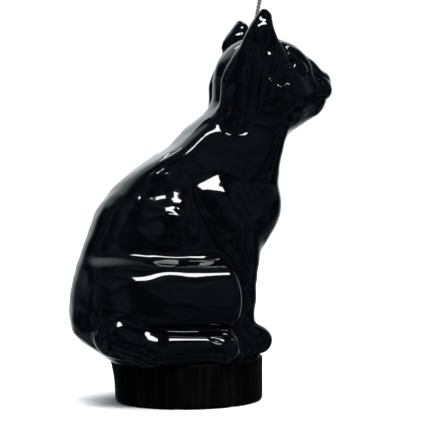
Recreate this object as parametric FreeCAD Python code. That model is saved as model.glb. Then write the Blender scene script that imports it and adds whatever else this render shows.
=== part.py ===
"""A cat-shaped figure candle, as the pieces it is made of.

The seated cat is one wax casting under a glossy dipped skin. It stands on a matt oval plinth, which is the
second pour that fills the open end of the mould. A cotton wick runs from a tin sustainer in the plinth's
underside, through both pours, and out of the crown between the ears.

Millimetres. +X is the way the cat faces, +Y its left side, +Z up. The origin is the middle of the plinth's
underside. Every form takes a skin depth: 0 gives the outside of the dipped skin, and COAT_THICKNESS gives the
wax under it.
"""

import FreeCAD, Part
import math
import os

from FreeCAD import Matrix, Placement, Rotation, Vector

# Driving dimensions.
PLINTH_LENGTH = 58.6
PLINTH_WIDTH = 52.0
PLINTH_HEIGHT = 17.0
PLINTH_EDGE = 1.4  # how far the plinth's lower edge is rounded in
PLINTH_EDGE_STEPS = 3
PLINTH_REAR_FLARE = 3.0  # the second pour spreads under the rump
PLINTH_FLARE_STEPS = 7  # close enough together that the loft keeps to them
COAT_THICKNESS = 1.0
EAR_TIP_HEIGHT = 155.0
WICK_DIAMETER = 1.9
WICK_FREE_LENGTH = 22.0  # above the crown
WICK_EXIT_X = 27.5
CROWN_HEIGHT = 146.0

SUSTAINER_DIAMETER = 15.0
SUSTAINER_SHEET = 0.4
SUSTAINER_SET_IN = 0.2  # below the plinth's underside
SUSTAINER_NECK_DIAMETER = 3.2
SUSTAINER_NECK_HEIGHT = 5.0
WICK_BEND_RADIUS = 40.0

# The seated body and neck: height, back of the spine, front of the chest, half width.
TORSO_SECTIONS = [
    (17.0, -32.5, 27.0, 23.0),
    (23.5, -41.0, 24.0, 23.0),
    (31.0, -47.8, 21.0, 23.0),
    (42.0, -48.2, 20.5, 23.0),
    (54.0, -45.0, 24.5, 22.5),
    (66.0, -40.8, 33.0, 22.0),
    (77.0, -36.4, 37.6, 21.5),
    (86.0, -29.3, 36.6, 19.5),
    (93.0, -19.6, 36.8, 17.5),
    (100.0, -9.8, 39.0, 15.5),
    (108.0, -1.8, 42.5, 14.0),
    (116.0, 6.0, 46.0, 13.5),
    (126.0, 9.0, 46.0, 13.0),
]
RING_POINTS = 16
RING_SQUARENESS = 2.3  # 2 is an ellipse, more is boxier

# Rounded forms: centre, half lengths, nose-up pitch and yaw to the left in degrees.
HEAD_FORMS = {
    "skull": ((29.2, 0, 129.5), (18.6, 17.0, 16.8), 0, 0),
    "brow": ((39.5, 0, 131.5), (15.5, 13.0, 12.0), -20, 0),
    "muzzle": ((45.5, 0, 124.2), (15.6, 10.5, 11.4), -5, 0),
    "nose": ((55.6, 0, 129.4), (6.2, 4.2, 4.6), -25, 0),
    "chin": ((50.2, 0, 117.4), (7.0, 6.2, 4.8), 40, 0),
}
# The same, for the right side. Each has a mirror image on the left.
FACE_SIDE_FORMS = {
    "cheek": ((32.0, -7.6, 121.2), (14.0, 9.2, 11.2), 0, 0),
    "eye": ((43.6, -9.0, 132.8), (4.4, 3.6, 3.9), 0, -35),
}
HIND_LEG_FORMS = {
    "thigh": ((-13.0, -14.5, 44.5), (28.0, 14.2, 17.5), 4, 0),
    "hip": ((-27.0, -10.0, 46.0), (17.5, 15.0, 19.5), 0, 0),
    "hind_foot": ((-9.5, -20.0, 23.4), (23.5, 7.6, 6.6), 0, -1),
}
SHOULDER_FORM = ((13.0, -11.0, 76.0), (16.0, 10.5, 18.0), 20, 0)
FOREPAW_FORM = ((22.2, -8.4, 22.6), (9.6, 7.0, 5.0), -4, 0)
FORELEG_WRIST = (17.2, -8.2, 25.0)
FORELEG_ELBOW = (17.0, -9.4, 66.0)
FORELEG_WRIST_RADIUS = 6.6
FORELEG_ELBOW_RADIUS = 8.8

# The right ear, from inside the skull up: height, middle along, middle across, half length, half thickness.
EAR_SECTIONS = [
    (122.0, 21.0, -9.4, 8.0, 2.0),
    (127.0, 22.4, -11.4, 9.0, 3.2),
    (133.0, 23.4, -13.0, 10.6, 3.9),
    (139.5, 24.0, -14.0, 9.4, 3.5),
    (144.5, 25.2, -14.5, 6.7, 3.0),
    (149.5, 25.4, -14.8, 4.4, 2.4),
    (153.0, 26.0, -15.0, 3.1, 1.9),
    (EAR_TIP_HEIGHT, 26.2, -15.1, 1.9, 1.2),
]

# The middle line of the tail, from inside the rump to its tip by the left forepaw.
TAIL_ROUTE = [
    (-34.0, -2.0, 30.0),
    (-33.5, 12.0, 25.5),
    (-24.0, 22.5, 23.6),
    (-8.0, 27.4, 22.8),
    (8.0, 25.4, 22.6),
    (18.0, 20.0, 22.4),
]
TAIL_ROOT_RADIUS = 6.6
TAIL_TIP_RADIUS = 4.2
TAIL_TIP_SWELL = 0.5  # the round tip is a little fuller than the tail just before it
TAIL_RINGS = 9

PARTS_FOLDER = "parts"
ROOM = 200.0  # a cutting box larger than the candle


def signed_power(value, power):
    """value to a power, keeping its sign."""
    return math.copysign(abs(value) ** power, value)


def ring(z, back, front, half_width):
    """A level closed curve round the body, between back and front."""
    middle, reach = (back + front) / 2, (front - back) / 2
    points = []
    for i in range(RING_POINTS):
        turn = 2 * math.pi * i / RING_POINTS
        x = middle + reach * signed_power(math.cos(turn), 2 / RING_SQUARENESS)
        y = half_width * signed_power(math.sin(turn), 2 / RING_SQUARENESS)
        points.append(Vector(x, y, z))
    curve = Part.BSplineCurve()
    curve.interpolate(points, PeriodicFlag=True)
    return Part.Wire([curve.toShape()])


def loft(wires):
    """A solid through level curves, from the lowest to the highest."""
    return Part.makeLoft(wires, True, False)


def ellipsoid(form, skin):
    """A rounded form with skin taken off all round."""
    centre, half_lengths, pitch, yaw = form
    stretch = Matrix()
    stretch.scale(*(half - skin for half in half_lengths))
    ball = Part.makeSphere(1.0).transformGeometry(stretch)
    ball.Placement = Placement(Vector(*centre), Rotation(yaw, -pitch, 0))
    return ball


def limb(bottom, top, bottom_radius, top_radius, skin):
    """A tapered limb with rounded ends."""
    start, end = Vector(*bottom), Vector(*top)
    along = end - start
    cone = Part.makeCone(bottom_radius - skin, top_radius - skin, along.Length, start, along)
    return cone.fuse([
        Part.makeSphere(bottom_radius - skin, start),
        Part.makeSphere(top_radius - skin, end),
    ])


def both_sides(right_forms):
    """Each right-hand form followed by its mirror image in the XZ plane."""
    pairs = []
    for form in right_forms:
        pairs += [form, form.mirror(Vector(0, 0, 0), Vector(0, 1, 0))]
    return pairs


def slope_at(i, column):
    """How fast one column of TORSO_SECTIONS changes with height, at row i."""
    below = TORSO_SECTIONS[max(i - 1, 0)]
    above = TORSO_SECTIONS[min(i + 1, len(TORSO_SECTIONS) - 1)]
    return (above[column] - below[column]) / (above[0] - below[0])


def torso(skin):
    """The spine, belly, chest and neck in one loft. The lowest curve stays on the plinth.

    A curve is level, so where the body slopes it goes in by more than skin. That leaves skin square to the
    surface. The flat top goes down by skin too.
    """
    wires = []
    top = TORSO_SECTIONS[-1][0]
    for i, (z, back, front, half_width) in enumerate(TORSO_SECTIONS):
        back_in, front_in, side_in = (
            skin * math.hypot(1, slope_at(i, column)) for column in (1, 2, 3)
        )
        level = z - skin if z == top else z
        wires.append(ring(level, back + back_in, front - front_in, half_width - side_in))
    return loft(wires)


def head(skin):
    """The skull, brow, muzzle, nose and chin, then the cheeks and eyes."""
    middle = [ellipsoid(form, skin) for form in HEAD_FORMS.values()]
    return middle + both_sides([ellipsoid(form, skin) for form in FACE_SIDE_FORMS.values()])


def ear(skin):
    """The right ear, from a flat lower end at the skull to its rounded tip. Both ends go in by skin."""
    wires = []
    ends = {EAR_SECTIONS[0][0]: skin, EAR_TIP_HEIGHT: -skin}
    for z, along, across, half_length, half_thick in EAR_SECTIONS:
        level = z + ends.get(z, 0)
        oval = Part.Ellipse(Vector(along, across, level), half_length - skin, half_thick - skin)
        wires.append(Part.Wire([oval.toShape()]))
    return loft(wires)


def hind_leg(skin):
    """The right thigh, hip and the long foot that lies along the plinth."""
    return [ellipsoid(form, skin) for form in HIND_LEG_FORMS.values()]


def foreleg(skin):
    """The right shoulder, foreleg and the paw that reaches past the plinth."""
    return [
        ellipsoid(SHOULDER_FORM, skin),
        limb(FORELEG_WRIST, FORELEG_ELBOW, FORELEG_WRIST_RADIUS, FORELEG_ELBOW_RADIUS, skin),
        ellipsoid(FOREPAW_FORM, skin),
    ]


def tail(skin):
    """The tail, from under the rump forward along the left foot to a round tip."""
    route = [Vector(*point) for point in TAIL_ROUTE]
    spine = Part.BSplineCurve()
    spine.interpolate(route)
    wires = []
    for i in range(TAIL_RINGS + 1):
        share = i / TAIL_RINGS
        at = spine.FirstParameter + share * (spine.LastParameter - spine.FirstParameter)
        radius = TAIL_ROOT_RADIUS + share * (TAIL_TIP_RADIUS - TAIL_ROOT_RADIUS) - skin
        circle = Part.Circle(spine.value(at), Vector(*spine.tangent(at)[0]), radius)
        wires.append(Part.Wire([circle.toShape()]))
    tip_radius = TAIL_TIP_RADIUS + TAIL_TIP_SWELL - skin
    return [loft(wires), Part.makeSphere(tip_radius, route[-1])]


def cat(skin):
    """The whole cat as one solid, standing on the plinth's top."""
    whole = torso(skin)
    limbs = both_sides(hind_leg(skin) + foreleg(skin))
    for form in head(skin) + both_sides([ear(skin)]) + tail(skin) + limbs:
        whole = whole.fuse(form)
    above_plinth = Part.makeBox(ROOM, ROOM, ROOM, Vector(-ROOM / 2, -ROOM / 2, PLINTH_HEIGHT))
    return whole.common(above_plinth)


def oval(z, back, front, half_width):
    """A level ellipse of the plinth."""
    middle, reach = (back + front) / 2, (front - back) / 2
    return Part.Wire([Part.Ellipse(Vector(middle, 0, z), reach, half_width).toShape()])


def plinth():
    """The oval second pour: quarter-round at its lower edge, and spread under the rump towards its top."""
    end, side = PLINTH_LENGTH / 2, PLINTH_WIDTH / 2
    levels = []
    for i in range(PLINTH_EDGE_STEPS + 1):
        turn = math.pi / 2 * i / PLINTH_EDGE_STEPS
        inward = PLINTH_EDGE * (1 - math.sin(turn))
        levels.append(oval(PLINTH_EDGE * (1 - math.cos(turn)), inward - end, end - inward, side - inward))
    for i in range(1, PLINTH_FLARE_STEPS + 1):
        share = i / PLINTH_FLARE_STEPS
        z = PLINTH_EDGE + share * (PLINTH_HEIGHT - PLINTH_EDGE)
        levels.append(oval(z, -end - PLINTH_REAR_FLARE * share ** 2, end, side))
    return loft(levels)


def wick_rod(diameter, start_z):
    """The wick's path at a diameter: up out of the sustainer, then straight to the crown and beyond."""
    neck_top = SUSTAINER_SET_IN + SUSTAINER_SHEET + SUSTAINER_NECK_HEIGHT
    lean = math.atan2(WICK_EXIT_X, CROWN_HEIGHT - neck_top)
    bend_run = WICK_BEND_RADIUS * math.tan(lean / 2)
    corner = Vector(0, 0, neck_top + bend_run)
    along = Vector(math.sin(lean), 0, math.cos(lean))
    above = (CROWN_HEIGHT - corner.z) / math.cos(lean) + WICK_FREE_LENGTH
    bend_start, bend_end = Vector(0, 0, neck_top), corner + along * bend_run
    bend_middle = Vector(
        WICK_BEND_RADIUS * (1 - math.cos(lean / 2)), 0, neck_top + WICK_BEND_RADIUS * math.sin(lean / 2)
    )
    path = Part.Wire([
        Part.LineSegment(Vector(0, 0, start_z), bend_start).toShape(),
        Part.Arc(bend_start, bend_middle, bend_end).toShape(),
        Part.LineSegment(bend_end, corner + along * above).toShape(),
    ])
    section = Part.Wire([Part.Circle(Vector(0, 0, start_z), Vector(0, 0, 1), diameter / 2).toShape()])
    return path.makePipeShell([section], True, False)


def sustainer_blank():
    """The sustainer's disc and neck before the wick's hole."""
    disc = Part.makeCylinder(SUSTAINER_DIAMETER / 2, SUSTAINER_SHEET, Vector(0, 0, SUSTAINER_SET_IN))
    neck = Part.makeCylinder(
        SUSTAINER_NECK_DIAMETER / 2, SUSTAINER_NECK_HEIGHT, Vector(0, 0, SUSTAINER_SET_IN + SUSTAINER_SHEET)
    )
    return disc.fuse(neck)


def sustainer_seat():
    """What the plinth leaves free for the sustainer, open at the underside."""
    seat = Part.makeCylinder(SUSTAINER_DIAMETER / 2, SUSTAINER_SET_IN + SUSTAINER_SHEET)
    return seat.fuse(sustainer_blank())


def save(name, shape):
    """One node's solids, to its own file."""
    solids = shape.Solids
    assert solids and all(solid.isValid() for solid in solids), name
    kept = solids[0] if len(solids) == 1 else Part.makeCompound(solids)
    kept.exportStep(os.path.join(PARTS_FOLDER, name + ".step"))
    print(name, len(solids), "solids", round(sum(s.Volume for s in solids) / 1000, 2), "cm3")


os.makedirs(PARTS_FOLDER, exist_ok=True)
wick = wick_rod(WICK_DIAMETER, SUSTAINER_SET_IN)
outside = cat(0.0)
wax = cat(COAT_THICKNESS)
save("gloss_coat", outside.cut(wax).cut(wick))
save("wax_body", wax.cut(wick))
save("plinth", plinth().cut(sustainer_seat()).cut(wick))
save("wick_sustainer", sustainer_blank().cut(wick))
save("wick", wick)
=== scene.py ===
import math

import bpy
import numpy as np
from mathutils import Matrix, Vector


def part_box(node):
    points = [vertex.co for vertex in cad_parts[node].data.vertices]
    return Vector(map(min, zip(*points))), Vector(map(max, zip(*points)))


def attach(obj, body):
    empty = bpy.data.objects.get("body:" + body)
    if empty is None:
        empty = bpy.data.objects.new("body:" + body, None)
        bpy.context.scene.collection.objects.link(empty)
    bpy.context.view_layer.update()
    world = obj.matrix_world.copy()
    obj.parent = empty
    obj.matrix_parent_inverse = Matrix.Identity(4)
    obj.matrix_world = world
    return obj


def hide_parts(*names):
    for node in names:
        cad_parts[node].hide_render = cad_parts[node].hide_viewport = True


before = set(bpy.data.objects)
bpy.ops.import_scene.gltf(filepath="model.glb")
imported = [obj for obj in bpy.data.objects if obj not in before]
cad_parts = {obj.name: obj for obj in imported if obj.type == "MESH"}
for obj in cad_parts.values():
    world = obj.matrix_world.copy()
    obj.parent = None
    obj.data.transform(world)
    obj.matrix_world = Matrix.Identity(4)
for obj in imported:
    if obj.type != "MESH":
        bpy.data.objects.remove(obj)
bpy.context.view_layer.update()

# The cat figure candle's looks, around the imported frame. The cat is sculpted as a signed distance in
# millimetres: rounded forms are blended together, then creases are pressed in and ridges raised. Its surface
# is meshed on a grid and every vertex is moved onto the exact surface, so that the gloss reflects cleanly.
# +X is the way the cat faces, +Y its left, +Z up. A form's y is its distance to either side of the middle,
# except in tail and swell, where it is the distance to the left.

MM = 0.001


def box_mm(node):
    """A CAD node's lowest and highest corners, in millimetres."""
    low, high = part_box(node)
    return np.array(low) / MM, np.array(high) / MM


plinth_low, plinth_high = box_mm("plinth")
coat_low, coat_high = box_mm("gloss_coat")
wick_low, wick_high = box_mm("wick")
PLINTH_TOP = plinth_high[2]
EAR_TIP = coat_high[2]

SKIN = 1.0  # the dipped skin's thickness
CORE_GAP = 0.1  # between the skin's inside and the cast wax
SURFACE_STEP = 0.70  # the grid for what is seen
HIDDEN_STEP = 1.6  # the grid for what is covered
NORMAL_REACH = 0.12  # how far to either side a slope is measured
FAR_EAR_FORWARD = 2.5  # the left ear's foot stands this far ahead of the right one's
PLINTH_RIM = 1.4  # the rounding of the plinth's lower edge


# ---------------------------------------------------------------- distances

def union(a, b, blend):
    """The nearer of two distances, rounded where they meet."""
    share = np.clip(0.5 + 0.5 * (b - a) / blend, 0, 1)
    return b + (a - b) * share - blend * share * (1 - share)


def cut(a, b, blend):
    """a with b taken away, rounded at the rim."""
    return -union(-a, b, blend)


def turned(point, centre, pitch, yaw):
    """Coordinates in a form's own axes: nose up by pitch, turned outward by yaw, in degrees."""
    p, q = math.radians(pitch), math.radians(yaw)
    x, y, z = (point[i] - centre[i] for i in range(3))
    x, y = x * math.cos(q) + y * math.sin(q), y * math.cos(q) - x * math.sin(q)
    return x * math.cos(p) + z * math.sin(p), y, z * math.cos(p) - x * math.sin(p)


def ellipsoid(point, centre, half, pitch=0, yaw=0):
    x, y, z = turned(point, centre, pitch, yaw)
    near = np.sqrt((x / half[0]) ** 2 + (y / half[1]) ** 2 + (z / half[2]) ** 2)
    steep = np.sqrt((x / half[0] ** 2) ** 2 + (y / half[1] ** 2) ** 2 + (z / half[2] ** 2) ** 2)
    return near * (near - 1) / np.maximum(steep, 1e-6)


def along_segment(point, start, end):
    """Distance to a straight segment, and how far along it the nearest place is."""
    line = [e - s for s, e in zip(start, end)]
    away = [point[i] - start[i] for i in range(3)]
    share = sum(a * b for a, b in zip(away, line)) / sum(b * b for b in line)
    share = np.clip(share, 0, 1)
    return np.sqrt(sum((a - share * b) ** 2 for a, b in zip(away, line))), share


def limb(point, stops):
    """A tapered limb through (x, y, z, radius) stops."""
    bend_blend = 2.0
    whole = None
    for a, b in zip(stops, stops[1:]):
        away, share = along_segment(point, a[:3], b[:3])
        piece = away - (a[3] + share * (b[3] - a[3]))
        whole = piece if whole is None else union(whole, piece, bend_blend)
    return whole


def smooth_route(stops, per_span):
    """A curve through the stops, with that many points to a span."""
    stops = np.array(stops, float)
    padded = np.vstack([2 * stops[0] - stops[1], stops, 2 * stops[-1] - stops[-2]])
    route = []
    for i in range(1, len(padded) - 2):
        a, b, c, d = padded[i - 1:i + 3]
        for t in np.arange(per_span) / per_span:
            route.append(0.5 * (2 * b + (c - a) * t + (2 * a - 5 * b + 4 * c - d) * t ** 2
                                + (3 * b - a - 3 * c + d) * t ** 3))
    route.append(stops[-1])
    return np.array(route)


def near_route(point, stops):
    """Distance to a smooth route through the stops, fading out at its two ends."""
    route = smooth_route(stops, 3)
    nearest = np.full(point[0].shape, 1e6)
    fade = np.zeros(point[0].shape)
    spans = len(route) - 1
    for i in range(spans):
        away, share = along_segment(point, route[i], route[i + 1])
        closer = away < nearest
        nearest = np.where(closer, away, nearest)
        at = (i + share) / spans
        fade = np.where(closer, np.clip(4.0 * np.minimum(at, 1 - at) + 0.15, 0, 1), fade)
    return nearest, fade


def pressed(distance, point, stops, width, depth):
    """distance with a soft crease of that depth along a route. A negative depth raises a ridge."""
    away, fade = near_route(point, stops)
    return distance + depth * fade * np.exp(-(away / width) ** 2)


def resampled(sections, count=240):
    """Sections joined by smooth curves, as a finely spaced table."""
    table = np.array(sections, float)
    slopes = np.gradient(table, table[:, 0], axis=0)
    z = np.linspace(table[0, 0], table[-1, 0], count)
    at = np.clip(np.searchsorted(table[:, 0], z, "right") - 1, 0, len(table) - 2)
    span = (table[at + 1, 0] - table[at, 0])[:, None]
    t = ((z - table[at, 0]) / span[:, 0])[:, None]
    return ((2 * t ** 3 - 3 * t ** 2 + 1) * table[at] + (t ** 3 - 2 * t ** 2 + t) * span * slopes[at]
            + (3 * t ** 2 - 2 * t ** 3) * table[at + 1] + (t ** 3 - t ** 2) * span * slopes[at + 1])


def lofted(point, table):
    """Distance to a form given by level sections: z, back, front, middle y, half width, squareness."""
    def fill(x, y, z):
        back, front, middle, half, square = (np.interp(z, table[:, 0], table[:, i]) for i in range(1, 6))
        across = np.abs((x - (back + front) / 2) / ((front - back) / 2)) ** square
        return (across + np.abs((y - middle) / half) ** square + 1e-9) ** (1 / square)
    x, y, z = point
    tiny = 0.05
    here = fill(x, y, z)
    beside = ((x + tiny, y, z), (x, y + tiny, z), (x, y, z + tiny))
    rises = [(fill(*place) - here) / tiny for place in beside]
    steep = np.sqrt(sum(rise * rise for rise in rises))
    distance = (here - 1) / np.maximum(steep, 0.02)
    above = z - table[-1, 0]
    below = table[0, 0] - z
    return np.maximum(distance, np.maximum(above, below))


# ---------------------------------------------------------------- the cat

# z, back, front, middle y, half width, squareness
TORSO = resampled([
    (10.0, -28.0, 26.0, 0, 22.0, 2.2),
    (17.0, -33.5, 26.5, 0, 22.5, 2.2),
    (23.5, -43.0, 24.0, 0, 22.5, 2.3),
    (27.5, -46.8, 22.4, 0, 22.3, 2.3),
    (31.0, -48.0, 21.0, 0, 22.0, 2.4),
    (42.0, -48.0, 20.5, 0, 22.0, 2.4),
    (54.0, -45.2, 24.6, 0, 19.6, 2.5),
    (60.0, -43.2, 29.4, 0, 18.8, 2.6),
    (66.0, -41.0, 33.2, 0, 18.6, 2.8),
    (77.0, -36.4, 37.2, 0, 18.2, 3.0),
    (81.5, -33.2, 37.0, 0, 17.6, 3.0),
    (86.0, -29.0, 36.4, 0, 16.6, 2.9),
    (93.0, -20.0, 36.0, 0, 15.6, 3.8),
    (100.0, -8.4, 37.0, 0, 15.0, 4.8),
    (105.0, -3.0, 38.2, 0, 14.4, 4.8),
    (110.0, 1.6, 40.0, 0, 13.2, 3.8),
    (116.0, 7.6, 43.4, 0, 12.8, 2.6),
    (126.0, 12.2, 45.0, 0, 12.0, 2.3),
])
EAR = resampled([
    (108.0, 8.0, 19.0, 8.5, 4.6, 2.2),
    (116.0, 8.6, 25.0, 10.4, 5.2, 2.2),
    (122.0, 9.2, 29.5, 11.4, 5.2, 2.2),
    (127.0, 9.4, 33.0, 12.0, 5.2, 2.2),
    (132.5, 11.4, 35.0, 12.7, 4.9, 2.2),
    (137.5, 14.6, 35.8, 13.2, 4.5, 2.2),
    (141.0, 16.8, 33.8, 13.5, 4.1, 2.2),
    (144.5, 18.5, 31.6, 13.8, 4.1, 2.2),
    (148.0, 20.3, 30.2, 13.6, 3.6, 2.2),
    (151.0, 22.2, 29.8, 13.6, 2.4, 2.3),
    (153.4, 24.0, 29.2, 14.0, 1.7, 2.2),
    (EAR_TIP, 25.2, 27.0, 14.8, 0.9, 2.0),
])


def thigh(point):
    """The hind leg's upper roll: long and level, with a tight upright edge in front."""
    x, y, z = point
    middle_z, half_z, half_y = 41.8, 14.8, 14.4
    sink = 0.012 * np.maximum(-16.0 - x, 0) ** 2
    up, out = (z - middle_z) / half_z, (y + sink - 13.6) / half_y
    round_about = ((np.abs(up) ** 2.6 + np.abs(out) ** 2.6) ** (1 / 2.6) - 1) * half_y
    rear = -44.0
    front = 13.2 - 3.6 * np.clip(np.abs(z - 41.0) / 16.0, 0, 1.5) ** 2
    ahead = np.maximum(x - front, rear - x)
    edge = 4.0
    corner = np.sqrt(np.maximum(round_about + edge, 0) ** 2 + np.maximum(ahead + edge, 0) ** 2)
    return corner + np.minimum(np.maximum(round_about + edge, ahead + edge), 0) - edge


def hind_foot(point):
    """The foot along the plinth, from the raised heel to its blunt toes."""
    sole = limb(point, [(6.0, 20.4, 22.6, 7.2), (-22.0, 20.4, 23.4, 7.6), (-34.0, 17.5, 28.6, 9.0)])
    toes = ellipsoid(point, (5.6, 20.2, 22.4), (7.4, 7.8, 7.4))
    return union(sole, toes, 2.0)


def foreleg(point):
    leg = limb(point, [(16.4, 9.0, 23.0, 7.0), (16.6, 9.4, 42.0, 7.4),
                       (17.2, 9.8, 56.0, 8.0), (16.0, 10.8, 70.0, 9.6)])
    paw = ellipsoid(point, (22.4, 9.4, 24.2), (9.0, 6.8, 6.4), pitch=-2)
    toe = ellipsoid(point, (26.6, 7.2, 24.2), (4.8, 3.4, 5.0))
    outer_toe = ellipsoid(point, (25.2, 12.4, 23.6), (4.6, 3.2, 4.8))
    return union(leg, union(paw, union(toe, outer_toe, 0.8), 1.2), 3.4)


def shoulder(point):
    blade = ellipsoid(point, (6.5, 9.8, 76.0), (14.8, 10.8, 15.0), pitch=16)
    upper_arm = limb(point, [(9.0, 11.6, 76.0, 8.6), (11.0, 12.0, 64.0, 7.6)])
    return union(blade, upper_arm, 4.0)


def back_facet(point):
    """Outside of the flat slope between the spine and the shoulder blade."""
    facing, middle = (-0.30, 0.74, 0.60), (-15.3, 10.8, 95.4)
    steepening, neck = 0.5, 90.0
    out = sum(f * (p - m) for f, p, m in zip(facing, point, middle))
    return out - steepening * np.maximum(point[2] - neck, 0)


def ribs(point):
    return ellipsoid(point, (-11.5, 8.8, 69.5), (14.0, 12.4, 13.8), pitch=14)


def head(point):
    forms = [
        (ellipsoid(point, (29.2, 0, 129.5), (18.4, 15.6, 16.6)), 1.0),
        (ellipsoid(point, (37.2, 0, 132.2), (13.6, 12.6, 12.5), pitch=-12), 4.0),
        (ellipsoid(point, (35.5, 6.4, 121.6), (14.0, 9.4, 10.8)), 4.0),
        (ellipsoid(point, (46.2, 0, 124.2), (12.0, 9.4, 9.8), pitch=-8), 4.0),
        (limb(point, [(40.6, 0, 136.6, 6.6), (49.6, 0, 133.0, 5.2), (56.6, 0, 129.6, 3.5)]), 3.0),
        (limb(point, [(51.4, 0, 119.8, 5.2), (42.6, 0, 116.8, 7.6), (34.0, 0, 112.6, 9.4)]), 5.0),
        (ellipsoid(point, (52.2, 3.0, 125.6), (7.8, 5.2, 5.8), pitch=-6, yaw=6), 2.0),
        (ellipsoid(point, (57.0, 0, 128.2), (3.7, 3.4, 3.6), pitch=-20), 2.4),
    ]
    whole, _ = forms[0]
    for form, blend in forms[1:]:
        whole = union(whole, form, blend)
    socket = ellipsoid(point, (43.4, 13.4, 133.4), (6.6, 4.6, 3.9), pitch=-30, yaw=-26)
    whole = cut(whole, socket, 1.6)
    eyeball = ellipsoid(point, (42.4, 9.3, 132.9), (4.7, 3.9, 3.3), pitch=-30, yaw=-26)
    return union(whole, eyeball, 0.4)


def tail(point, left):
    route = [(-34.0, -2.0, 30.0, 6.4), (-33.5, 12.0, 25.5, 6.0), (-24.0, 22.5, 23.4, 5.4),
             (-8.0, 27.0, 22.6, 4.9), (8.0, 25.2, 22.4, 4.5), (18.0, 20.0, 22.2, 4.3)]
    return limb((point[0], left, point[2]), smooth_route(route, 3))


# Soft lines pressed into the surface: name, width, depth, stops. A negative depth is a ridge.
LINES = [
    ("behind the arm", 1.8, 1.5, [(-6.5, 18, 89), (-3.6, 20, 77), (2.4, 21, 66.5), (8.8, 21, 58.5)]),
    ("rib hollow", 3.4, 1.5, [(-27, 19, 80), (-20, 19, 81), (-12, 20, 82.5)]),
    ("rib edge", 1.3, -0.5, [(-9, 20, 85), (-8.1, 21, 79.8), (-11, 21, 77), (-9.6, 21.4, 73),
                             (-15, 21.4, 74), (-22, 21, 76)]),
    ("under the ribs", 2.2, 0.9, [(-26, 20, 68), (-15, 22, 66), (-5, 22, 66), (1, 21, 68)]),
    ("above the thigh", 2.2, 1.3, [(-30, 20, 61.5), (-14, 22, 62), (0, 22, 61.5), (9, 20, 59.5)]),
    ("thigh to foot", 1.6, 1.0, [(-36, 20, 34), (-22, 24, 31.2), (-4, 25, 30.4), (10, 23, 30.4)]),
    ("heel", 1.5, 1.4, [(-42.5, 17, 34), (-39.0, 20, 27), (-33.5, 22, 20.5), (-25, 24, 16.8)]),
    ("ahead of the thigh", 1.6, 1.6, [(12.4, 20, 57), (15.2, 19, 48), (15.8, 19, 38), (14.0, 20, 31)]),
    ("between the forelegs", 2.6, 3.0, [(24, 0, 20), (24.5, 0, 34), (25, 0, 48), (29, 0, 58)]),
    ("back of the ear", 1.5, -0.8, [(22.6, 15, 151), (17.4, 16, 142), (11.4, 17, 132), (9.2, 15, 122),
                                    (7.0, 13, 112)]),
    ("nape edge", 1.2, -0.5, [(7.5, 9.5, 115), (0.5, 9, 109), (-9.5, 9.5, 101), (-15.3, 9.6, 95)]),
    ("blade edge", 1.3, -0.5, [(-13, 13.2, 92), (-21, 14.2, 88), (-29, 15, 81.5), (-36, 15, 74)]),
    ("cheek", 1.2, 1.3, [(26.6, 17.4, 131), (29.2, 17.4, 128), (32.8, 17, 126.4), (37, 15.4, 126.6)]),
    ("cheek fold", 1.2, -1.0, [(26.6, 17.4, 128.8), (29.2, 17.4, 125.8), (33, 17, 124.2), (37, 15.4, 124.6)]),
    ("brow", 1.2, -1.7, [(36.4, 7.5, 144), (38.4, 10, 141.2), (42.6, 10, 139.4), (46.6, 8.4, 136.4),
                         (49, 6.5, 133.6)]),
    ("brow knob", 1.2, -1.0, [(36.6, 13, 138.6), (38.4, 12.6, 137.8), (40.4, 12, 137.2)]),
    ("outer corner", 1.0, -0.9, [(37.2, 13.8, 132.8), (38.2, 13.6, 131.6), (39.4, 13.2, 130.6)]),
    ("whisker pad", 1.0, -1.3, [(48.4, 8.8, 128.4), (50.4, 8.6, 126.2), (53, 8, 124.6)]),
    ("upper lid", 1.0, -1.5, [(37.4, 13, 137.4), (41.4, 11.8, 135.8), (45.2, 9.8, 133), (46.8, 8.4, 130.8)]),
    ("lower lid", 1.0, -1.5, [(38.6, 13, 133.8), (41.2, 12.2, 130.8), (44.6, 10.6, 129.2), (47, 8.8, 129.8)]),
    ("beside the nose", 1.1, -1.5, [(48.4, 6.6, 134.4), (48.2, 8.2, 131),
                                    (49.4, 8.6, 127.4), (51.4, 8.4, 124.4)]),
    ("muzzle", 1.1, 0.7, [(50.6, 7, 129.4), (52.6, 6.8, 126.6), (54.2, 6.4, 124)]),
    ("nose bridge", 1.0, -1.1, [(51, 3.6, 135.2), (54.6, 3.4, 132.4), (57.6, 2.9, 129.8)]),
    ("nostril", 1.0, 0.4, [(60.6, 2.2, 129.0), (59.4, 3.0, 127.4), (57.8, 3.4, 127.8)]),
    ("lip cleft", 0.9, 0.3, [(61.2, 0, 127.6), (61.4, 0, 125.0), (60.4, 0, 122.0)]),
    ("mouth", 1.0, 0.4, [(60.2, 0, 121.6), (57.6, 4.2, 121.2), (53.0, 7.0, 120.8), (47.5, 8.8, 121.4)]),
    ("neck fold", 1.3, 0.9, [(8.0, 14.5, 107.8), (12.0, 15, 106.2), (17.0, 15, 106.4), (21.0, 14, 108.4)]),
    ("inner toe", 0.7, 0.8, [(30.5, 9.8, 25.0), (29.6, 9.9, 20.0), (27.6, 9.9, 17.2)]),
    ("hind toe", 0.8, 0.8, [(4.5, 25.4, 28.0), (8.6, 25.4, 26.0), (10.8, 23.4, 20.5)]),
    ("hind outer toe", 0.7, 0.6, [(0.0, 26.6, 27.0), (4.4, 27.0, 24.4), (6.4, 26.4, 19.5)]),
]
EAR_FLUTES = [(20.6, 0.7), (24.4, 0.8), (28.2, 0.8), (32.0, 0.6)]

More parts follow.
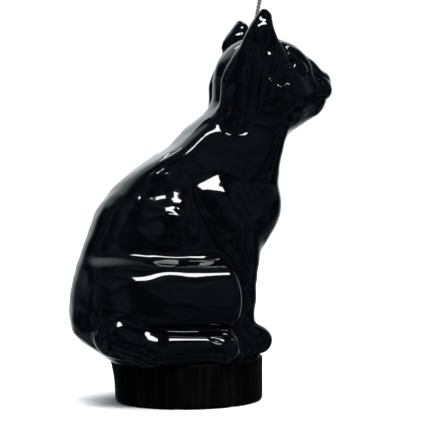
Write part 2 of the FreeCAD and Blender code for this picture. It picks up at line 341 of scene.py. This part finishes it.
# Swells left by dipping: wavelength, height, and the way each one runs.
SWELLS = [
    (21.0, 0.10, (0.9, 0.3, 0.2)),
    (14.0, 0.09, (0.22, 0.2, 0.95)),
    (9.0, 0.05, (-0.2, 0.3, 0.93)),
    (5.6, 0.026, (0.14, -0.2, 0.96)),
]


def swell(point):
    total = 0.0
    for i, (length, height, way) in enumerate(SWELLS):
        size = math.sqrt(sum(w * w for w in way))
        run = sum(w / size * c for w, c in zip(way, point))
        bend = np.sin(sum(c * f for c, f in zip(point, (0.07, 0.11, 0.09))) + i)
        total = total + height * np.sin(2 * math.pi * run / length + 1.7 * bend + 2.1 * i)
    return total


def cat_distance(points):
    """Signed distance in millimetres from points, an (n, 3) array, to the dipped cat."""
    left = points[:, 1]
    point = (points[:, 0], np.abs(left), points[:, 2])
    whole = lofted(point, TORSO)
    whole = -union(-whole, -back_facet(point), 1.4)
    haunch = ellipsoid(point, (-28.0, 10.0, 42.0), (17.0, 14.8, 16.0))
    parts = [
        (haunch, 3.0),
        (thigh(point), 3.2),
        (ribs(point), 3.6),
        (shoulder(point), 3.2),
        (foreleg(point), 3.0),
        (hind_foot(point), 2.4),
        (head(point), 5.0),
    ]
    for form, blend in parts:
        whole = union(whole, form, blend)
    set_forward = np.where(left > 0, FAR_EAR_FORWARD * np.clip((146 - point[2]) / 9, 0, 1), 0)
    ear = lofted((point[0] - set_forward, point[1], point[2]), EAR)
    hollow = ellipsoid(point, (26.6, 20.6, 139.4), (6.2, 4.6, 10.8), pitch=-4)
    pit = ellipsoid(point, (27.4, 17.2, 138.6), (2.0, 1.8, 1.5))
    whole = union(whole, cut(cut(ear, hollow, 1.4), pit, 0.6), 2.6)
    leg_gap = ellipsoid(point, (27.0, 0, 35.0), (10.5, 3.3, 19.0))
    whole = cut(whole, leg_gap, 1.4)
    for across, depth in EAR_FLUTES:
        whole = pressed(whole, point, [(across + 0.6, 16.5, 148), (across, 17, 138), (across - 1.5, 17, 126),
                                       (across - 3.0, 16, 114)], 1.3, depth)
    for _name, width, depth, stops in LINES:
        whole = pressed(whole, point, stops, width, depth)
    whole = union(whole, tail(point, left), 1.6)
    whole = whole + swell((point[0], left, point[2]))
    foot_line = PLINTH_TOP - 2.4 + 0.05 * np.maximum(-20 - point[0], 0) ** 1.2
    return -union(-whole, -(foot_line - point[2]), 1.6)


# ---------------------------------------------------------------- meshing

def gridded(distance, low, high, step):
    """distance at every grid point, worked out finely only near the surface."""
    ratio = 4
    margin = 1.35  # coarse cells either side of the surface
    batch = 400000
    count = np.ceil((high - low) / (step * ratio)).astype(int) + 1
    axes = [low[i] + step * ratio * np.arange(count[i]) for i in range(3)]
    coarse_points = np.stack(np.meshgrid(*axes, indexing="ij"), -1).reshape(-1, 3)
    coarse = distance(coarse_points).reshape(count)
    field = coarse
    for axis in range(3):
        field = np.repeat(field, ratio, axis=axis)
    shift = ratio // 2
    near = np.abs(field) < step * ratio * margin
    at = np.argwhere(near)
    start = low - step * shift
    values = np.empty(len(at))
    for i in range(0, len(at), batch):
        part = slice(i, i + batch)
        values[part] = distance(start + at[part] * step)
    field[near] = values
    return field, start


def surface_net(field, start, step):
    """Vertices and quads of the surface where field is 0. Quads face outward."""
    inside = field < 0
    size = np.array(field.shape) - 1
    corners = np.zeros(size, np.uint8)
    for i in range(8):
        a, b, c = i & 1, i >> 1 & 1, i >> 2 & 1
        corners += inside[a:a + size[0], b:b + size[1], c:c + size[2]]
    cells = np.argwhere((corners > 0) & (corners < 8))
    index = np.full(size, -1, np.int64)
    index[tuple(cells.T)] = np.arange(len(cells))
    total, crossings = np.zeros((len(cells), 3)), np.zeros(len(cells))
    for axis in range(3):
        step_along = np.eye(3, dtype=int)[axis]
        others = [i for i in range(3) if i != axis]
        for a in (0, 1):
            for b in (0, 1):
                corner = np.zeros(3, int)
                corner[others[0]], corner[others[1]] = a, b
                first = field[tuple((cells + corner).T)]
                second = field[tuple((cells + corner + step_along).T)]
                crosses = (first < 0) != (second < 0)
                share = np.where(crosses, first / np.where(crosses, first - second, 1), 0)
                place = cells + corner + share[:, None] * step_along
                total += np.where(crosses[:, None], place, 0)
                crossings += crosses
    vertices = start + step * total / crossings[:, None]
    quads = []
    for axis in range(3):
        u, v = (axis + 1) % 3, (axis + 2) % 3
        first = np.take(inside, range(field.shape[axis] - 1), axis)
        second = np.take(inside, range(1, field.shape[axis]), axis)
        edges = np.argwhere(first != second)
        for_inside = first[tuple(edges.T)]
        ok = (edges[:, u] > 0) & (edges[:, v] > 0) & (edges[:, u] < size[u]) & (edges[:, v] < size[v])
        edges, for_inside = edges[ok], for_inside[ok]
        ring = []
        for du, dv in ((1, 1), (0, 1), (0, 0), (1, 0)):
            cell = edges.copy()
            cell[:, u] -= du
            cell[:, v] -= dv
            ring.append(index[tuple(cell.T)])
        ring = np.stack(ring, 1)
        quads.append(np.where(for_inside[:, None], ring, ring[:, ::-1]))
    return vertices, np.vstack(quads)


def slope(distance, points):
    """The gradient of distance at points."""
    columns = []
    for axis in range(3):
        step = np.eye(3)[axis] * NORMAL_REACH
        columns.append((distance(points + step) - distance(points - step)) / (2 * NORMAL_REACH))
    return np.stack(columns, 1)


def skinned(distance, low, high, step, level=0.0):
    """Vertices, outward normals and quads of the surface at a level of distance."""
    def shifted(points):
        return distance(points) - level
    field, start = gridded(shifted, low, high, step)
    vertices, quads = surface_net(field, start, step)
    for _ in range(2):
        gradient = slope(shifted, vertices)
        move = shifted(vertices)[:, None] * gradient / np.maximum((gradient ** 2).sum(1), 0.2)[:, None]
        vertices = vertices - np.clip(move, -0.6 * step, 0.6 * step)
    gradient = slope(shifted, vertices)
    normals = gradient / np.maximum(np.linalg.norm(gradient, axis=1), 1e-9)[:, None]
    return vertices, normals, quads


def make_piece(name, vertices, faces, node, material, normals=None):
    """A piece from millimetre vertices, on the root body, standing for a CAD node. End caps are left flat."""
    mesh = bpy.data.meshes.new(name)
    mesh.from_pydata((np.asarray(vertices) * MM).tolist(), [], faces)
    mesh.update()
    mesh.polygons.foreach_set("use_smooth", [len(face) == 4 for face in faces])
    if normals is not None:
        mesh.normals_split_custom_set_from_vertices(np.asarray(normals).tolist())
    mesh.materials.append(material)
    piece = bpy.data.objects.new(name, mesh)
    bpy.context.scene.collection.objects.link(piece)
    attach(piece, "root")
    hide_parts(node)


# ---------------------------------------------------------------- materials

def new_material(name):
    material = bpy.data.materials.new(name)
    material.use_nodes = True
    tree = material.node_tree
    return material, tree, tree.nodes["Principled BSDF"]


def noise_node(tree, scale, detail=3.0, stretch=(1, 1, 1)):
    place = tree.nodes.new("ShaderNodeTexCoord")
    mapping = tree.nodes.new("ShaderNodeMapping")
    mapping.inputs["Scale"].default_value = stretch
    noise = tree.nodes.new("ShaderNodeTexNoise")
    noise.inputs["Scale"].default_value = scale
    noise.inputs["Detail"].default_value = detail
    tree.links.new(place.outputs["Object"], mapping.inputs["Vector"])
    tree.links.new(mapping.outputs["Vector"], noise.inputs["Vector"])
    return noise


def ramp_node(tree, source, stops):
    ramp = tree.nodes.new("ShaderNodeValToRGB")
    ramp.color_ramp.elements[0].position, ramp.color_ramp.elements[0].color = stops[0]
    ramp.color_ramp.elements[1].position, ramp.color_ramp.elements[1].color = stops[1]
    tree.links.new(source, ramp.inputs["Fac"])
    return ramp


def grey(value):
    return (value, value, value, 1)


def bump_node(tree, shader, height, distance):
    bump = tree.nodes.new("ShaderNodeBump")
    bump.inputs["Distance"].default_value = distance
    bump.inputs["Strength"].default_value = 1.0
    tree.links.new(height, bump.inputs["Height"])
    tree.links.new(bump.outputs["Normal"], shader.inputs["Normal"])


def gloss_material():
    """Black wax with a wet-looking dipped skin: faint orange peel and cloudy patches."""
    material, tree, shader = new_material("gloss_dip")
    clouds = noise_node(tree, 45, 4)
    colour = ramp_node(tree, clouds.outputs["Fac"],
                       [(0.3, (0.0003, 0.0005, 0.0009, 1)), (0.75, (0.0008, 0.0011, 0.0018, 1))])
    tree.links.new(colour.outputs["Color"], shader.inputs["Base Color"])
    rough = ramp_node(tree, clouds.outputs["Fac"], [(0.35, grey(0.035)), (0.75, grey(0.085))])
    tree.links.new(rough.outputs["Color"], shader.inputs["Roughness"])
    shader.inputs["IOR"].default_value = 1.46
    peel = noise_node(tree, 260, 2)
    bump_node(tree, shader, peel.outputs["Fac"], 0.000015)
    return material


def cast_material():
    material, tree, shader = new_material("body_wax")
    clouds = noise_node(tree, 60, 4)
    colour = ramp_node(tree, clouds.outputs["Fac"],
                       [(0.3, (0.003, 0.003, 0.004, 1)), (0.75, (0.006, 0.006, 0.007, 1))])
    tree.links.new(colour.outputs["Color"], shader.inputs["Base Color"])
    shader.inputs["Roughness"].default_value = 0.5
    return material


def plinth_material():
    """Bare wax, matt and a little brown, with upright scrape marks."""
    material, tree, shader = new_material("plinth_wax")
    marks = noise_node(tree, 420, 5, (1, 1, 0.08))
    colour = ramp_node(tree, marks.outputs["Fac"],
                       [(0.46, (0.0001, 0.0001, 0.0002, 1)), (0.68, (0.0020, 0.0019, 0.0021, 1))])
    tree.links.new(colour.outputs["Color"], shader.inputs["Base Color"])
    rough = ramp_node(tree, marks.outputs["Fac"], [(0.3, grey(0.55)), (0.75, grey(0.8))])
    tree.links.new(rough.outputs["Color"], shader.inputs["Roughness"])
    shader.inputs["Specular IOR Level"].default_value = 0.06
    bump_node(tree, shader, marks.outputs["Fac"], 0.0005)
    return material


def cotton_material():
    material, tree, shader = new_material("cotton")
    fibres = noise_node(tree, 2600, 4, (1, 1, 0.25))
    colour = ramp_node(tree, fibres.outputs["Fac"],
                       [(0.40, (0.02, 0.018, 0.017, 1)), (0.66, (0.20, 0.19, 0.18, 1))])
    tree.links.new(colour.outputs["Color"], shader.inputs["Base Color"])
    shader.inputs["Roughness"].default_value = 0.7
    shader.inputs["Sheen Weight"].default_value = 0.15
    bump_node(tree, shader, fibres.outputs["Fac"], 0.00012)
    return material


def tin_material():
    material, tree, shader = new_material("tinplate")
    rolled = noise_node(tree, 900, 3, (0.05, 1, 1))
    shader.inputs["Base Color"].default_value = (0.62, 0.62, 0.60, 1)
    shader.inputs["Metallic"].default_value = 1.0
    rough = ramp_node(tree, rolled.outputs["Fac"], [(0.3, grey(0.22)), (0.75, grey(0.42))])
    tree.links.new(rough.outputs["Color"], shader.inputs["Roughness"])
    bump_node(tree, shader, rolled.outputs["Fac"], 0.00003)
    return material


# ---------------------------------------------------------------- pieces

def wax_pieces():
    """The dipped skin, outside and inside, and the cast wax under it."""
    margin = 2.0
    low, high = coat_low - margin, coat_high + margin
    low = np.array([low[0], low[1], PLINTH_TOP - 6.0])
    outer, outward, outer_quads = skinned(cat_distance, low, high, SURFACE_STEP)
    inner, inward, inner_quads = skinned(cat_distance, low, high, HIDDEN_STEP, -SKIN)
    vertices = np.vstack([outer, inner])
    normals = np.vstack([outward, -inward])
    quads = np.vstack([outer_quads, inner_quads[:, ::-1] + len(outer)]).tolist()
    make_piece("dipped_skin", vertices, quads, "gloss_coat", gloss_material(), normals)
    core, core_normals, core_quads = skinned(cat_distance, low, high, HIDDEN_STEP, -SKIN - CORE_GAP)
    make_piece("cast_wax", core, core_quads.tolist(), "wax_body", cast_material(), core_normals)


def plinth_piece():
    """The second pour: scraped upright walls, a chipped lower rim and a spread under the rump."""
    turns, rows = 720, 40
    random = np.random.default_rng(7)
    half_x = -plinth_low[0]
    front = plinth_high[0]
    half_y = plinth_high[1]
    turn = 2 * math.pi * np.arange(turns) / turns
    marks = sum(random.normal(0, 1) * np.sin(n * turn + random.uniform(0, 6.28)) / n ** 0.35
                for n in range(30, 170, 3))
    marks = 0.10 * marks / np.abs(marks).max()
    # Chips in the lower rim: direction, half width as an angle, depth.
    chips = [(math.radians(-113), 0.060, 1.9), (math.radians(-70), 0.045, 1.5), (math.radians(95), 0.05, 1.1)]
    round_rows = 8
    bend = np.linspace(0, math.pi / 2, round_rows)
    heights = np.concatenate([PLINTH_RIM * (1 - np.cos(bend)),
                              np.linspace(PLINTH_RIM, PLINTH_TOP, rows - round_rows + 1)[1:]])
    drawn_in = np.concatenate([PLINTH_RIM * (1 - np.sin(bend)), np.zeros(rows - round_rows)])
    vertices = []
    for z, inward in zip(heights, drawn_in):
        flare = (z / PLINTH_TOP) ** 2.4
        rear = front + 0.7 + (half_x - front - 0.7) * flare
        reach = np.where(np.cos(turn) > 0, front, front + (rear - front) * np.clip(-3 * np.cos(turn), 0, 1))
        spread = marks * np.clip(z / 3.0, 0.2, 1.0) - inward
        lift = np.zeros(turns)
        for angle, wide, deep in chips:
            away = np.angle(np.exp(1j * (turn - angle)))
            lift += deep * np.exp(-(away / wide) ** 4) * max(0.0, 1 - z / 2.2)
        x, y = (reach + spread) * np.cos(turn), (half_y + spread) * np.sin(turn)
        vertices.append(np.stack([x, y, np.full(turns, z) + lift], 1))
    ring = np.arange(turns)
    after = (ring + 1) % turns
    faces = []
    for row in range(len(heights) - 1):
        lower, upper = row * turns, (row + 1) * turns
        faces += np.stack([lower + ring, lower + after, upper + after, upper + ring], 1).tolist()
    faces.append(list(range(turns - 1, -1, -1)))
    faces.append([(len(heights) - 1) * turns + i for i in range(turns)])
    make_piece("poured_plinth", np.vstack(vertices), faces, "plinth", plinth_material())


def wick_piece():
    """Three plaited strands along the wick's route, from the sustainer to the free end."""
    strands, sides, pitch, radius = 3, 8, 4.2, 0.53
    swing, depth = 0.44, 0.26
    wick_radius = 0.95
    row_length = 0.42
    bend = (0.0, 0.0, 5.6)
    top = np.array([wick_high[0] - wick_radius, 0.0, wick_high[2] - 0.2])
    corner = np.array([0.0, 0.0, bend[2] + 3.7])
    route = smooth_route([(0, 0, wick_low[2]), bend, corner + (0.35, 0, 0.8), corner + (top - corner) * 0.1,
                          corner + (top - corner) * 0.5, top], 40)
    length = np.concatenate([[0], np.cumsum(np.linalg.norm(np.diff(route, axis=0), axis=1))])
    count = int(length[-1] / row_length)
    at = np.linspace(0, length[-1], count)
    middle = np.stack([np.interp(at, length, route[:, i]) for i in range(3)], 1)
    tangent = np.gradient(middle, axis=0)
    tangent /= np.linalg.norm(tangent, axis=1)[:, None]
    side = np.tile([0.0, 1.0, 0.0], (count, 1))
    front = np.cross(side, tangent)
    vertices, faces = [], []
    for strand in range(strands):
        phase = 2 * math.pi * (at / pitch + strand / strands)
        core = middle + side * (swing * np.sin(phase))[:, None] + front * (depth * np.sin(2 * phase))[:, None]
        base = len(vertices) * count
        for i in range(sides):
            angle = 2 * math.pi * i / sides
            vertices.append(core + radius * (side * math.cos(angle) + front * math.sin(angle)))
        index = np.arange(count - 1)
        for i in range(sides):
            j = (i + 1) % sides
            faces += np.stack([base + i * count + index, base + j * count + index,
                               base + j * count + index + 1, base + i * count + index + 1], 1).tolist()
        faces.append([base + i * count for i in range(sides - 1, -1, -1)])
        faces.append([base + i * count + count - 1 for i in range(sides)])
    make_piece("plaited_wick", np.vstack(vertices), faces, "wick", cotton_material())


def sustainer_finish():
    """The CAD sustainer keeps its shape and takes the tin finish."""
    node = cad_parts["wick_sustainer"]
    tin = tin_material()
    if node.material_slots:
        for entry in node.material_slots:
            entry.material = tin
    else:
        node.data.materials.append(tin)


# ---------------------------------------------------------------- stage, light, camera

VIEW_AZIMUTH = math.radians(-18.0)
VIEW_DISTANCE = 0.454
VIEW_HEIGHT = 0.075
VIEW_SHIFT = 0.0086  # the camera stands this far towards the cat's nose
LENS = 96.5
right_way = Vector((math.cos(VIEW_AZIMUTH), math.sin(VIEW_AZIMUTH), 0))
view_way = Vector((-math.sin(VIEW_AZIMUTH), math.cos(VIEW_AZIMUTH), 0))


def make_floor():
    """A pale floor that the gloss doesn't reflect."""
    mesh = bpy.data.meshes.new("floor")
    half = 3.0
    corners = [(-half, -half, 0), (half, -half, 0), (half, half, 0), (-half, half, 0)]
    mesh.from_pydata(corners, [], [(0, 1, 2, 3)])
    material, tree, shader = new_material("floor_paint")
    shader.inputs["Base Color"].default_value = (0.9, 0.9, 0.9, 1)
    shader.inputs["Roughness"].default_value = 0.9
    shader.inputs["Specular IOR Level"].default_value = 0.0
    mesh.materials.append(material)
    floor = bpy.data.objects.new("floor", mesh)
    bpy.context.scene.collection.objects.link(floor)
    floor.visible_glossy = False


def strip_light(name, azimuth, elevation, distance, size, power):
    """A rectangular lamp aimed at the candle. Azimuth is from the camera's side, to its right."""
    turn, rise = math.radians(azimuth), math.radians(elevation)
    level = -view_way * math.cos(turn) + right_way * math.sin(turn)
    target = Vector((0, 0, 0.07))
    lamp = bpy.data.lights.new(name, "AREA")
    lamp.shape = "RECTANGLE"
    lamp.size, lamp.size_y = size
    lamp.energy = power
    light = bpy.data.objects.new(name, lamp)
    light.location = target + distance * (level * math.cos(rise) + Vector((0, 0, math.sin(rise))))
    light.rotation_euler = (target - light.location).to_track_quat("-Z", "Y").to_euler()
    bpy.context.scene.collection.objects.link(light)


def make_lights():
    """Two lamps that the gloss shows as strips, and a soft fill that it doesn't show."""
    strip_light("ceiling_near", azimuth=28, elevation=52, distance=1.6, size=(0.9, 0.34), power=26)
    strip_light("ceiling_far", azimuth=0, elevation=114, distance=1.6, size=(1.5, 0.16), power=7)
    lamp = bpy.data.lights.new("overhead", "SUN")
    lamp.energy = 3.7
    lamp.angle = math.radians(70)
    fill = bpy.data.objects.new("overhead", lamp)
    fill.visible_glossy = False
    bpy.context.scene.collection.objects.link(fill)


def glow_node(tree, way, towards, edge, middle, colour):
    """Light from around one direction. edge and middle are cosines of the angle from it."""
    facing = tree.nodes.new("ShaderNodeVectorMath")
    facing.operation = "DOT_PRODUCT"
    facing.inputs[1].default_value = Vector(towards).normalized()
    tree.links.new(way, facing.inputs[0])
    ramp = ramp_node(tree, facing.outputs["Value"], [(edge, grey(0)), (middle, (*colour, 1))])
    ramp.color_ramp.interpolation = "EASE"
    return ramp.outputs["Color"]


def make_world():
    """White to the camera. In the gloss it is a dim, uneven room with a bright backdrop behind the cat."""
    world = bpy.data.worlds.new("studio")
    world.use_nodes = True
    tree = world.node_tree
    tree.nodes.clear()
    output = tree.nodes.new("ShaderNodeOutputWorld")
    mix = tree.nodes.new("ShaderNodeMixShader")
    path = tree.nodes.new("ShaderNodeLightPath")
    plain = tree.nodes.new("ShaderNodeBackground")
    room = tree.nodes.new("ShaderNodeBackground")
    plain.inputs["Color"].default_value = (1, 1, 1, 1)
    way = tree.nodes.new("ShaderNodeTexCoord").outputs["Generated"]
    patches = tree.nodes.new("ShaderNodeTexNoise")
    patches.inputs["Scale"].default_value = 2.4
    patches.inputs["Detail"].default_value = 3.0
    tree.links.new(way, patches.inputs["Vector"])
    light = ramp_node(tree, patches.outputs["Fac"],
                      [(0.42, (0.012, 0.015, 0.022, 1)), (0.70, (0.15, 0.19, 0.24, 1))])
    light = light.outputs["Color"]
    backdrop = (view_way.x, view_way.y, 0.12)
    above_behind = (-0.16, 0.57, 0.81)
    # A colour mix takes its two colours at sockets 6 and 7 and gives its result at 2.
    for towards, edge, middle, colour in (
        (backdrop, 0.62, 0.99, (0.9, 0.97, 1.0)),
        (above_behind, 0.80, 0.97, (0.9, 1.0, 1.0)),
    ):
        both = tree.nodes.new("ShaderNodeMix")
        both.data_type = "RGBA"
        both.blend_type = "ADD"
        both.inputs[0].default_value = 1.0
        tree.links.new(light, both.inputs[6])
        tree.links.new(glow_node(tree, way, towards, edge, middle, colour), both.inputs[7])
        light = both.outputs[2]
    tree.links.new(light, room.inputs["Color"])
    tree.links.new(path.outputs["Is Camera Ray"], mix.inputs["Fac"])
    tree.links.new(room.outputs["Background"], mix.inputs[1])
    tree.links.new(plain.outputs["Background"], mix.inputs[2])
    tree.links.new(mix.outputs["Shader"], output.inputs["Surface"])
    bpy.context.scene.world = world
    bpy.context.scene.view_settings.view_transform = "Standard"


def make_camera():
    data = bpy.data.cameras.new("camera")
    data.lens = LENS
    data.sensor_width = 36.0
    data.clip_start = 0.01
    camera = bpy.data.objects.new("camera", data)
    camera.location = -view_way * VIEW_DISTANCE + right_way * VIEW_SHIFT + Vector((0, 0, VIEW_HEIGHT))
    camera.rotation_euler = view_way.to_track_quat("-Z", "Y").to_euler()
    bpy.context.scene.collection.objects.link(camera)
    bpy.context.scene.camera = camera


make_camera()
wax_pieces()
plinth_piece()
wick_piece()
sustainer_finish()
make_floor()
make_lights()
make_world()
